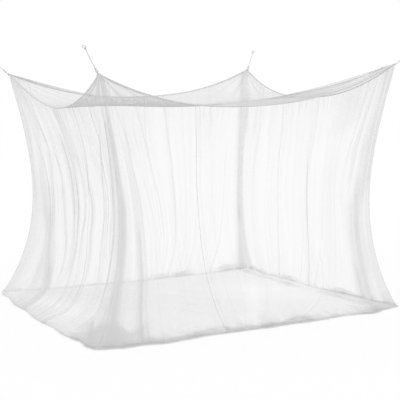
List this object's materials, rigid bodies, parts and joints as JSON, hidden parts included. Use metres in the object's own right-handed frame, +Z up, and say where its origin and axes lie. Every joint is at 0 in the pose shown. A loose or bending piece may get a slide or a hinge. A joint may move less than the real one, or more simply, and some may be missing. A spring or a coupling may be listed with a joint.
{
  "type": "mosquito net tent",
  "caption": "Box-shaped sheer net tent with sagging roof edges, drawn-in walls, an overlapped entry, a net floor and hanging cords at its roof corners.",
  "frame": {"origin": "on the ground, at the middle of the box round the net without its cords", "axes": "+Z up, +X along the wall with the entry towards the side away from the entry, +Y from the entry's wall to the wall behind it"},
  "size_m": [2.1869, 2.0769, 1.662],
  "materials": {
    "white_net": "sheer fine mesh, matt",
    "white_binding": "folded tape, matt",
    "white_cord": "braided, matt"
  },
  "bodies": {
    "net": {"near_wall_left": "white_net", "near_wall_right": "white_net", "far_wall": "white_net", "left_wall": "white_net", "right_wall": "white_net", "roof_panel": "white_net", "floor_panel": "white_net", "near_rim": "white_binding", "right_rim": "white_binding", "far_rim": "white_binding", "left_rim": "white_binding", "near_hem": "white_binding", "right_hem": "white_binding", "far_hem": "white_binding", "left_hem": "white_binding", "near_left_seam": "white_binding", "near_right_seam": "white_binding", "far_right_seam": "white_binding", "far_left_seam": "white_binding", "entry_edge_left": "white_binding", "entry_edge_right": "white_binding", "near_left_patch": "white_binding", "near_right_patch": "white_binding", "far_right_patch": "white_binding", "far_left_patch": "white_binding"},
    "near_left_tab": {"near_left_tab": "white_binding"},
    "near_left_hanging_cord": {"near_left_lower_eye": "white_cord", "near_left_cord": "white_cord", "near_left_upper_eye": "white_cord"},
    "near_right_tab": {"near_right_tab": "white_binding"},
    "near_right_hanging_cord": {"near_right_lower_eye": "white_cord", "near_right_cord": "white_cord", "near_right_upper_eye": "white_cord"},
    "far_right_tab": {"far_right_tab": "white_binding"},
    "far_right_hanging_cord": {"far_right_lower_eye": "white_cord", "far_right_cord": "white_cord", "far_right_upper_eye": "white_cord"},
    "far_left_tab": {"far_left_tab": "white_binding"},
    "far_left_hanging_cord": {"far_left_lower_eye": "white_cord", "far_left_cord": "white_cord", "far_left_upper_eye": "white_cord"}
  },
  "joints": [
    {"name": "near_left_tab_swivel", "type": "hinge", "parent": "net", "child": "near_left_tab", "pos_m": [-0.93385, -0.9039, 1.475], "axis": [0.4545, 0.4545, 0.766], "range_deg": [-40, 40]},
    {"name": "near_left_cord_swing", "type": "hinge", "parent": "near_left_tab", "child": "near_left_hanging_cord", "pos_m": [-0.9436, -0.91365, 1.48657], "axis": [0.7071, -0.7071, 0], "range_deg": [-45, 130]},
    {"name": "near_right_tab_swivel", "type": "hinge", "parent": "net", "child": "near_right_tab", "pos_m": [0.9983, -0.9089, 1.515], "axis": [-0.4545, 0.4545, 0.766], "range_deg": [-40, 40]},
    {"name": "near_right_cord_swing", "type": "hinge", "parent": "near_right_tab", "child": "near_right_hanging_cord", "pos_m": [1.00805, -0.91865, 1.52657], "axis": [0.7071, 0.7071, 0], "range_deg": [-45, 130]},
    {"name": "far_right_tab_swivel", "type": "hinge", "parent": "net", "child": "far_right_tab", "pos_m": [0.9783, 0.91324, 1.515], "axis": [-0.4545, -0.4545, 0.766], "range_deg": [-40, 40]},
    {"name": "far_right_cord_swing", "type": "hinge", "parent": "far_right_tab", "child": "far_right_hanging_cord", "pos_m": [0.98805, 0.92299, 1.52657], "axis": [-0.7071, 0.7071, 0], "range_deg": [-45, 130]},
    {"name": "far_left_tab_swivel", "type": "hinge", "parent": "net", "child": "far_left_tab", "pos_m": [-0.88885, 0.89824, 1.505], "axis": [0.4545, -0.4545, 0.766], "range_deg": [-40, 40]},
    {"name": "far_left_cord_swing", "type": "hinge", "parent": "far_left_tab", "child": "far_left_hanging_cord", "pos_m": [-0.8986, 0.90799, 1.51657], "axis": [-0.7071, -0.7071, 0], "range_deg": [-45, 130]}
  ]
}
